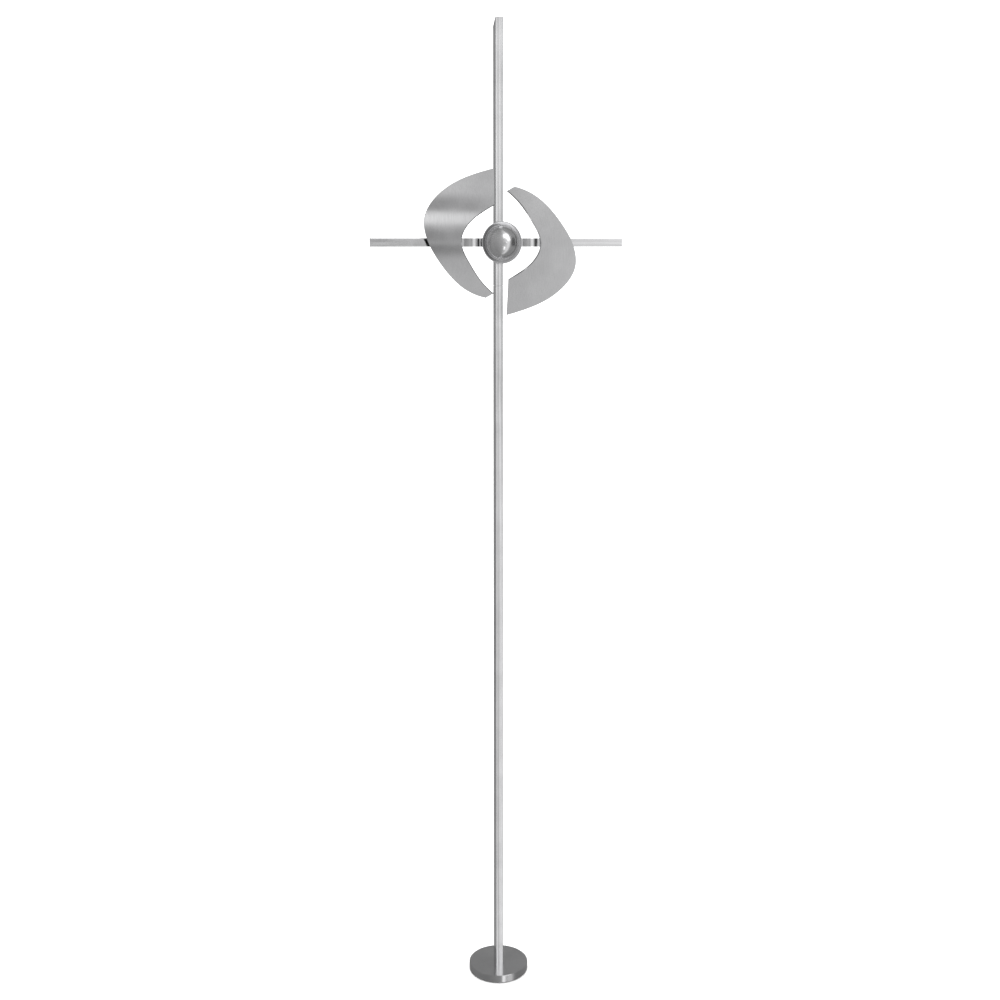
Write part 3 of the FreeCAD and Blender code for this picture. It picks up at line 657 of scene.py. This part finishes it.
@dataclass
class Rotor(Assembly):
    """The bearing housing, the arms, the blades, the dish and the dome. Lengths are in metres.

    Attributes:
        bead: The welding bead of the arms and the blades.
        arm_depth: Depth of an arm's bar.
        bead_sink: How far the blade's beads lie behind the front of that bar.
        bead_out: How far they stand off the bar's upper and lower edges.
        bead_start: Distance of their inner ends from the axis.
        bead_short: How far they stop short of the arm's end.
        root_inset: How far the root's bead stops short of the bar's edges.
    """

    bead: WeldBead = field(default_factory=lambda: WeldBead(1.1 * MM, 1.1 * MM))
    arm_depth: float = 8.0 * MM
    bead_sink: float = 0.95 * MM
    bead_out: float = 0.2 * MM
    bead_start: float = 82 * MM
    bead_short: float = 3 * MM
    root_inset: float = 2 * MM

    def dress_hub(self) -> None:
        """Finishes the housing and what is fixed in it."""
        self.dress(self.finishes.turned_hub, "rotor_hub")
        self.dress(self.finishes.fastener, "bearing_circlip", "dish_screws")
        self.dress(self.finishes.bearing, "rear_bearing_outer_ring", "front_bearing_outer_ring")
        self.dress(self.finishes.spun_dish, "hub_dish")
        self.dress(self.finishes.spun_dome, "hub_dome")

    def dress_wings(self) -> None:
        """Finishes the arms and the blades."""
        self.dress(self.finishes.arm_bar, "rotor_arm_left", "rotor_arm_right")
        self.dress(self.finishes.blade_sheet, "blade_left", "blade_right")

    def weld_blades(self) -> None:
        """Lays two beads behind each blade, along the upper and lower edges of its arm."""
        for side in ("left", "right"):
            low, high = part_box(f"rotor_arm_{side}")
            seat = high.y - self.arm_depth + self.bead_sink
            sense, end = (1, high.x) if side == "right" else (-1, low.x)
            inner = sense * self.bead_start
            outer = end - sense * self.bead_short
            mesh = bmesh.new()
            for height in (low.z - self.bead_out, high.z + self.bead_out):
                self.bead.lay(mesh, Vector((inner, seat, height)), Vector((outer, seat, height)))
            self.settle(mesh, f"weld_blade_{side}", "rotor", "blade_steel")

    def weld_arms(self) -> None:
        """Lays a bead down the root of each arm, where it meets the rear of the housing."""
        mesh = bmesh.new()
        for side in ("left", "right"):
            low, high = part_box(f"rotor_arm_{side}")
            root = low.x if side == "right" else high.x
            foot = Vector((root, high.y, low.z + self.root_inset))
            top = Vector((root, high.y, high.z - self.root_inset))
            self.bead.lay(mesh, foot, top)
        self.settle(mesh, "weld_arm_roots", "rotor", "arm_steel")

    def build(self) -> None:
        """Builds and finishes the whole rotor."""
        self.dress_hub()
        self.dress_wings()
        self.weld_blades()
        self.weld_arms()


@dataclass
class BallSets(Assembly):
    """The balls and cages that roll between the bearing rings."""

    def build(self) -> None:
        """Finishes both sets."""
        for end in ("rear", "front"):
            self.dress(self.finishes.bearing, f"{end}_bearing_balls")
            self.dress(self.finishes.cage, f"{end}_bearing_cage")


@dataclass(frozen=True)
class Panel:
    """A soft-edged panel that the metal mirrors.

    Attributes:
        bearings: Its edges around the object.
        elevations: Its edges above and below level.
        level: How bright it is.
    """

    bearings: Edges
    elevations: Edges
    level: float


PANELS = (
    # Low down, it draws a bright streak down the foot's rim.
    Panel((-4, 1, 9, 13), (-52, -44, -29, -23), 1.9),
    # Off to the right, it makes the middle of the dome's crescent.
    Panel((20, 27, 40, 48), (9, 14, 30, 34), 2.6),
    # High up, it makes the crescent's top and, by way of the post, lights a patch of the foot.
    Panel((-5, 2, 40, 48), (27, 33, 52, 58), 2.4),
    # A dark flag far to the right, for the dark bands on the arms and the dome.
    Panel((50, 56, 84, 94), (-20, -12, 18, 28), 0.09),
)


@dataclass
class Studio:
    """The pale floor, the soft light around the object and the camera.

    Attributes:
        turn: How far the camera stands round to the object's left, in degrees.
        distance: Level distance from the post to the camera, in metres.
        tilt: How far the camera looks down, in degrees.
        lens: Focal length, in millimetres.
        aside: Yaw that leaves the post a little left of the middle, in degrees.
        sensor: Width of the film, in millimetres.
        white: Strength of the white around everything, enough to wash out the shadow on the floor.
        floor_half: Half the floor's width, in metres.
        floor_drop: How far the floor lies under the foot, so that the two don't share a plane.
    """

    turn: float = 17.0
    distance: float = 2.38
    tilt: float = 11.13
    lens: float = 47.12
    aside: float = 0.075
    sensor: float = 36.0
    white: float = 1.9
    floor_half: float = 14.0
    floor_drop: float = 0.2 * MM

    def lay_floor(self) -> None:
        """Makes the pale floor, which mirrors in nothing, so that the panels alone shape the metal."""
        mesh = bmesh.new()
        under = Matrix.Translation((0.0, 0.0, -self.floor_drop))
        bmesh.ops.create_grid(mesh, x_segments=1, y_segments=1, size=self.floor_half, matrix=under)
        data = bpy.data.meshes.new("floor")
        mesh.to_mesh(data)
        mesh.free()
        material, tree, shader = new_material("floor")
        shader.inputs["Base Color"].default_value = (0.93, 0.93, 0.93, 1.0)
        shader.inputs["Roughness"].default_value = 0.9
        shader.inputs["Specular IOR Level"].default_value = 0.0
        data.materials.append(material)
        floor = bpy.data.objects.new("floor", data)
        bpy.context.scene.collection.objects.link(floor)
        floor.visible_glossy = False

    def panels(self, tree: bpy.types.NodeTree) -> bpy.types.NodeSocket:
        """Makes the pattern of panels around the object.

        Args:
            tree: The world's node tree.

        Returns:
            Its brightness, as a colour.
        """
        way = add(tree, "ShaderNodeTexCoord").outputs["Generated"]
        parts = add(tree, "ShaderNodeSeparateXYZ", links={0: way})
        front = add(tree, "ShaderNodeMath", {1: -1.0}, {0: parts.outputs["Y"]}, operation="MULTIPLY")
        bearing = add(
            tree, "ShaderNodeMath", links={0: parts.outputs["X"], 1: front.outputs[0]}, operation="ARCTAN2"
        )
        rise = add(tree, "ShaderNodeMath", links={0: parts.outputs["Z"]}, operation="ARCSINE")
        # Each angle is mapped to the range from 0 to 1, and each set of stops to the ramp of its angle.
        top = math.radians(TOP_ELEVATION)
        around, up = (
            {
                "Fac": add(
                    tree,
                    "ShaderNodeMapRange",
                    {"From Min": -limit, "From Max": limit},
                    {"Value": angle.outputs[0]},
                ).outputs[0]
            }
            for angle, limit in ((bearing, math.pi), (rise, top))
        )
        whole, tall = 360, 2 * TOP_ELEVATION
        ring, bands, slatted = (
            add(tree, "ShaderNodeValToRGB", links=angle, stops=greys(levels, span)).outputs["Color"]
            for angle, levels, span in (
                (around, ROOM, whole),
                (up, SLATS, tall),
                (around, zip(SLATTED, SOFT), whole),
            )
        )
        pattern = add(
            tree,
            "ShaderNodeMix",
            links={0: slatted, 6: ring, 7: bands},
            data_type="RGBA",
            blend_type="MULTIPLY",
        ).outputs[2]
        for panel in PANELS:
            wide, high = (
                add(tree, "ShaderNodeValToRGB", links=angle, stops=greys(zip(edges, SOFT), span))
                for angle, edges, span in ((around, panel.bearings, whole), (up, panel.elevations, tall))
            )
            inside = add(
                tree,
                "ShaderNodeMath",
                links={0: wide.outputs["Color"], 1: high.outputs["Color"]},
                operation="MULTIPLY",
            )
            grey = (panel.level, panel.level, panel.level, 1.0)
            pattern = add(
                tree, "ShaderNodeMix", {7: grey}, {0: inside.outputs[0], 6: pattern}, data_type="RGBA"
            ).outputs[2]
        return pattern

    def light(self) -> None:
        """Makes the soft light: white around everything, and panels that only the metal mirrors."""
        world = bpy.data.worlds.new("studio")
        bpy.context.scene.world = world
        world.use_nodes = True
        tree = world.node_tree
        tree.nodes.clear()
        studio = add(tree, "ShaderNodeBackground", {"Strength": 1.0}, {"Color": self.panels(tree)})
        white = add(tree, "ShaderNodeBackground", {"Color": (1.0, 1.0, 1.0, 1.0), "Strength": self.white})
        paths = add(tree, "ShaderNodeLightPath")
        mirrored = add(
            tree,
            "ShaderNodeMixShader",
            links={0: paths.outputs["Is Glossy Ray"], 1: white.outputs[0], 2: studio.outputs[0]},
        )
        add(tree, "ShaderNodeOutputWorld", links={"Surface": mirrored.outputs[0]})

    def aim(self) -> None:
        """Makes the camera at hub height, round to the left and looking down the post."""
        data = bpy.data.cameras.new("camera")
        data.lens = self.lens
        data.sensor_width = self.sensor
        data.clip_end = 100.0
        camera = bpy.data.objects.new("camera", data)
        bpy.context.scene.collection.objects.link(camera)
        angle = math.radians(self.turn)
        camera.location = (-self.distance * math.sin(angle), -self.distance * math.cos(angle), HUB_HEIGHT)
        camera.rotation_euler = (math.radians(90 - self.tilt), 0.0, -angle - math.radians(self.aside))
        bpy.context.scene.camera = camera

    def build(self) -> None:
        """Sets up the floor, the light and the camera."""
        self.lay_floor()
        self.light()
        self.aim()
        bpy.context.scene.view_settings.view_transform = "Standard"
        log.info("studio ready")


def main() -> None:
    """Builds the object and the studio around it."""
    finishes = Finishes()
    Studio().build()
    for assembly in (Stand(finishes), Rotor(finishes), BallSets(finishes)):
        assembly.build()


if __name__ == "__main__":
    main()
